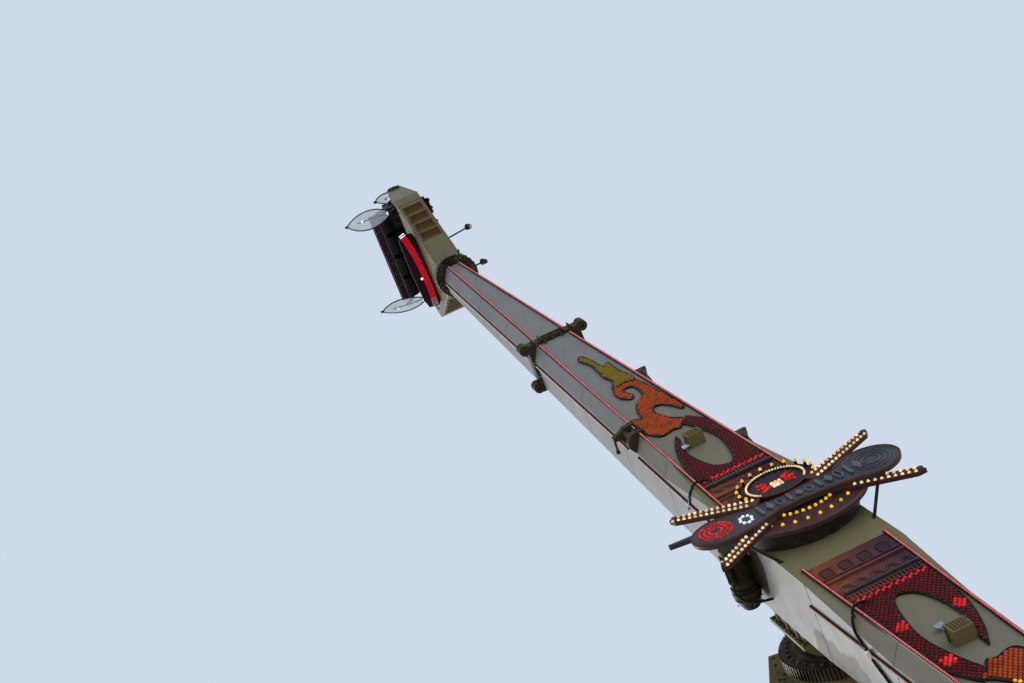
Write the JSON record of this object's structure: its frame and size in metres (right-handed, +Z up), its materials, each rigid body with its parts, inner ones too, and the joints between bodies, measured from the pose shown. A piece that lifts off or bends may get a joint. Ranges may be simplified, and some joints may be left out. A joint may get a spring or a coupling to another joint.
{
  "type": "propeller arm ride, 1:2 scale model",
  "caption": "Fairground propeller ride: a tapered box boom turns on a tower, with a free-swinging gondola on a turning carrier at each end and a lamp-edged sign at the hub.",
  "frame": {"origin": "on the ground, in the middle of the base's footprint", "axes": "+X to the right as seen from the front, +Y to the rear, +Z up"},
  "size_m": [9.4504, 6.82, 31.9],
  "materials": {
    "boom_paint": "gloss cream grey",
    "khaki_paint": "satin khaki",
    "base_paint": "satin dark khaki",
    "bracket_steel": "dark greased steel",
    "fork_paint": "gloss khaki",
    "gear_steel": "machined and greased",
    "channel_pink": "light strip cover",
    "sign_slate": "satin slate",
    "sign_copper": "satin copper brown",
    "sign_dark": "satin dark maroon",
    "drum_black": "satin black",
    "decor_rust": "gloss rust red",
    "deck_grey": "matt grey",
    "gondola_maroon": "gloss maroon",
    "seat_black": "moulded",
    "bar_black": "padded bar",
    "screen_clear": "clear screen"
  },
  "bodies": {
    "base": {"base_frame": "base_paint", "front_outriggers": "base_paint", "rear_outriggers": "base_paint", "jack_feet": "base_paint", "loading_deck": "deck_grey", "deck_steps": "deck_grey", "tower_lower": "khaki_paint", "tower_upper": "khaki_paint", "tower_braces": "khaki_paint", "tower_head": "khaki_paint", "ring_gear": "gear_steel"},
    "boom": {"boom_centre": "boom_paint", "turn_plate": "khaki_paint", "hub_motor": "bracket_steel", "hub_drum": "drum_black", "sign_struts": "bracket_steel", "sign_rays": "sign_copper", "sign_bowl": "sign_copper", "sign_board": "sign_slate", "sign_crest": "sign_dark", "centre_light_channels": "channel_pink", "edge_brackets": "bracket_steel", "lamp_boxes": "bracket_steel", "upper_decor": "decor_rust", "lower_decor": "decor_rust", "upper_joint_flanges": "bracket_steel", "upper_outer_boom": "boom_paint", "upper_light_channels": "channel_pink", "upper_end_ring": "gear_steel", "lower_joint_flanges": "bracket_steel", "lower_outer_boom": "boom_paint", "lower_light_channels": "channel_pink", "lower_end_ring": "gear_steel"},
    "upper_carrier": {"upper_fork": "fork_paint", "upper_lamp_stalks": "bracket_steel", "upper_side_board": "gondola_maroon"},
    "upper_gondola": {"upper_gondola_frame": "gondola_maroon", "upper_seats": "seat_black", "upper_restraints": "bar_black", "upper_end_screens": "screen_clear"},
    "lower_carrier": {"lower_fork": "fork_paint", "lower_lamp_stalks": "bracket_steel", "lower_side_board": "gondola_maroon"},
    "lower_gondola": {"lower_gondola_frame": "gondola_maroon", "lower_seats": "seat_black", "lower_restraints": "bar_black", "lower_end_screens": "screen_clear"}
  },
  "joints": [
    {"name": "boom_turn", "type": "hinge", "parent": "base", "child": "boom", "pos_m": [0, -1.7, 16.55], "axis": [0, 1, 0], "continuous": true},
    {"name": "upper_carrier_turn", "type": "hinge", "parent": "boom", "child": "upper_carrier", "pos_m": [-3.21712, -1.535, 28.55646], "axis": [-0.2588, 0, 0.9659], "continuous": true},
    {"name": "upper_gondola_swing", "type": "hinge", "parent": "upper_carrier", "child": "upper_gondola", "pos_m": [-3.90817, -1.535, 31.13548], "axis": [0, 1, 0], "continuous": true},
    {"name": "lower_carrier_turn", "type": "hinge", "parent": "boom", "child": "lower_carrier", "pos_m": [3.21712, -1.535, 4.54354], "axis": [0.2588, 0, -0.9659], "continuous": true},
    {"name": "lower_gondola_swing", "type": "hinge", "parent": "lower_carrier", "child": "lower_gondola", "pos_m": [3.90817, -1.535, 1.96452], "axis": [0, 1, 0], "continuous": true}
  ]
}
